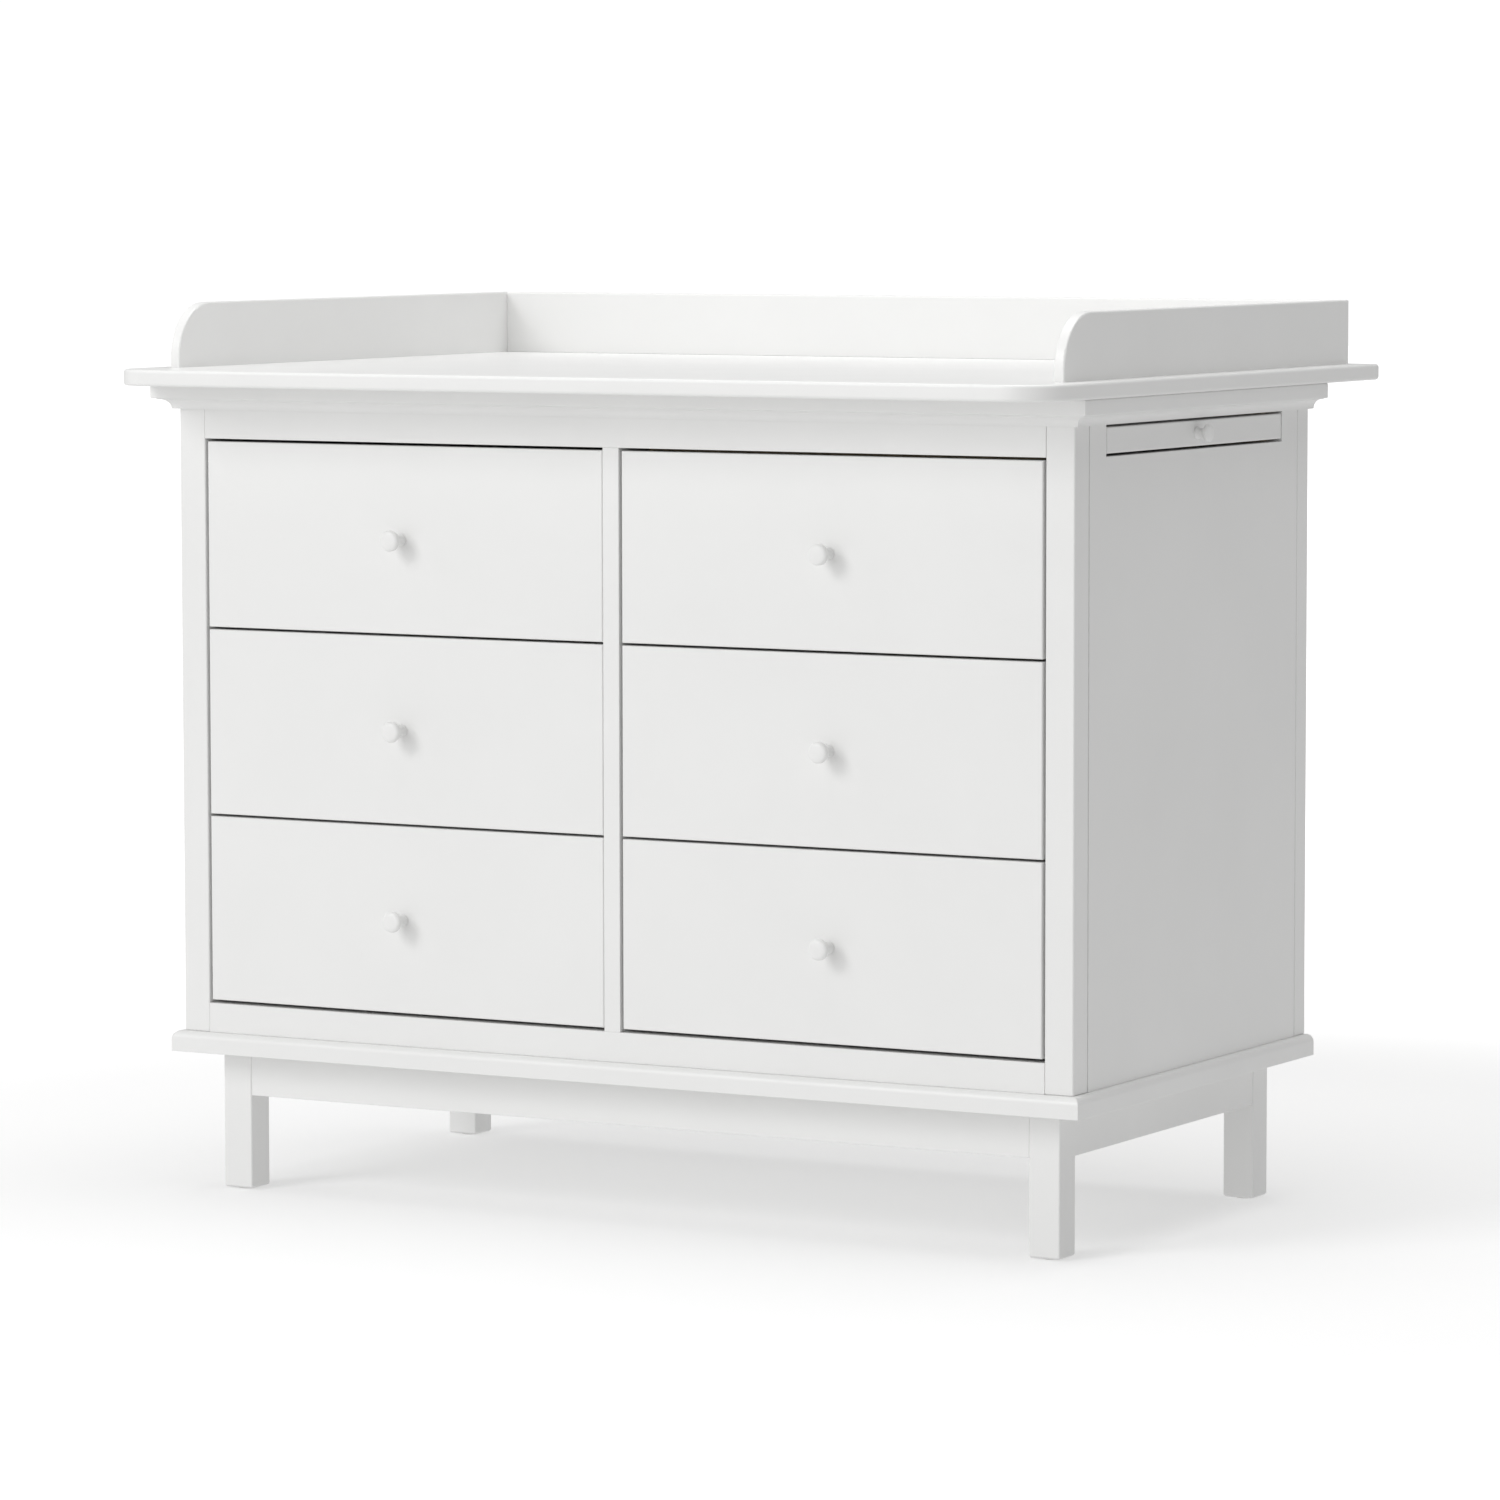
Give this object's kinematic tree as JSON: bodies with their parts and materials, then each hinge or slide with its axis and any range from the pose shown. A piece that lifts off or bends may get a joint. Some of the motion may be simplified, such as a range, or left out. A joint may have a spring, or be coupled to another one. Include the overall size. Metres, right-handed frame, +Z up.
{
  "type": "changing table",
  "caption": "White lacquered changing table: a chest of drawers on a low legged frame, with a guarded changing top over it and a small pull-out shelf in its right side.",
  "frame": {"origin": "on the floor, under the middle of the changing top", "axes": "+Z up, -Y towards the person who opens the drawers, +X to the right of that person"},
  "size_m": [1.11, 0.779, 0.947],
  "materials": {
    "white_lacquer": "wood and fibreboard under white satin lacquer",
    "white_board": "thin hardboard with a white printed face",
    "birch_ply": "birch plywood, clear matt lacquer",
    "zinc_steel": "zinc-plated rolled steel",
    "glide_plastic": "moulded pale grey polyethylene"
  },
  "bodies": {
    "chest": {"leg_front_left": "white_lacquer", "leg_front_right": "white_lacquer", "leg_back_left": "white_lacquer", "leg_back_right": "white_lacquer", "foot_glides": "glide_plastic", "apron_front": "white_lacquer", "apron_back": "white_lacquer", "apron_left": "white_lacquer", "apron_right": "white_lacquer", "plinth_board": "white_lacquer", "post_front_left": "white_lacquer", "post_front_right": "white_lacquer", "post_back_left": "white_lacquer", "post_back_right": "white_lacquer", "side_panel_left": "white_lacquer", "side_panel_right": "white_lacquer", "back_panel": "white_board", "centre_partition": "white_lacquer", "front_top_rail": "white_lacquer", "front_bottom_rail": "white_lacquer", "back_rails": "white_lacquer", "chest_top": "white_lacquer", "cornice_front": "white_lacquer", "cornice_left": "white_lacquer", "cornice_right": "white_lacquer", "runner_battens": "birch_ply", "fixed_runners": "zinc_steel", "changing_board": "white_lacquer", "guard_left": "white_lacquer", "guard_right": "white_lacquer", "guard_back": "white_lacquer", "steel_fixings": "zinc_steel", "shelf_guides": "birch_ply"},
    "shelf": {"shelf_board": "white_lacquer", "shelf_front": "white_lacquer", "shelf_knob": "white_lacquer"},
    "drawer_bottom_left": {"drawer_bottom_left_front": "white_lacquer", "drawer_bottom_left_box": "birch_ply", "drawer_bottom_left_fittings": "zinc_steel", "drawer_bottom_left_knob": "white_lacquer"},
    "drawer_bottom_right": {"drawer_bottom_right_front": "white_lacquer", "drawer_bottom_right_box": "birch_ply", "drawer_bottom_right_fittings": "zinc_steel", "drawer_bottom_right_knob": "white_lacquer"},
    "drawer_middle_left": {"drawer_middle_left_front": "white_lacquer", "drawer_middle_left_box": "birch_ply", "drawer_middle_left_fittings": "zinc_steel", "drawer_middle_left_knob": "white_lacquer"},
    "drawer_middle_right": {"drawer_middle_right_front": "white_lacquer", "drawer_middle_right_box": "birch_ply", "drawer_middle_right_fittings": "zinc_steel", "drawer_middle_right_knob": "white_lacquer"},
    "drawer_top_left": {"drawer_top_left_front": "white_lacquer", "drawer_top_left_box": "birch_ply", "drawer_top_left_fittings": "zinc_steel", "drawer_top_left_knob": "white_lacquer"},
    "drawer_top_right": {"drawer_top_right_front": "white_lacquer", "drawer_top_right_box": "birch_ply", "drawer_top_right_fittings": "zinc_steel", "drawer_top_right_knob": "white_lacquer"}
  },
  "joints": [
    {"name": "drawer_bottom_left_slide", "type": "slide", "parent": "chest", "child": "drawer_bottom_left", "axis": [0, -1, 0], "range_m": [0, 0.34]},
    {"name": "drawer_bottom_right_slide", "type": "slide", "parent": "chest", "child": "drawer_bottom_right", "axis": [0, -1, 0], "range_m": [0, 0.34]},
    {"name": "drawer_middle_left_slide", "type": "slide", "parent": "chest", "child": "drawer_middle_left", "axis": [0, -1, 0], "range_m": [0, 0.34]},
    {"name": "drawer_middle_right_slide", "type": "slide", "parent": "chest", "child": "drawer_middle_right", "axis": [0, -1, 0], "range_m": [0, 0.34]},
    {"name": "drawer_top_left_slide", "type": "slide", "parent": "chest", "child": "drawer_top_left", "axis": [0, -1, 0], "range_m": [0, 0.34]},
    {"name": "drawer_top_right_slide", "type": "slide", "parent": "chest", "child": "drawer_top_right", "axis": [0, -1, 0], "range_m": [0, 0.34]},
    {"name": "shelf_slide", "type": "slide", "parent": "chest", "child": "shelf", "axis": [1, 0, 0], "range_m": [0, 0.3]}
  ]
}
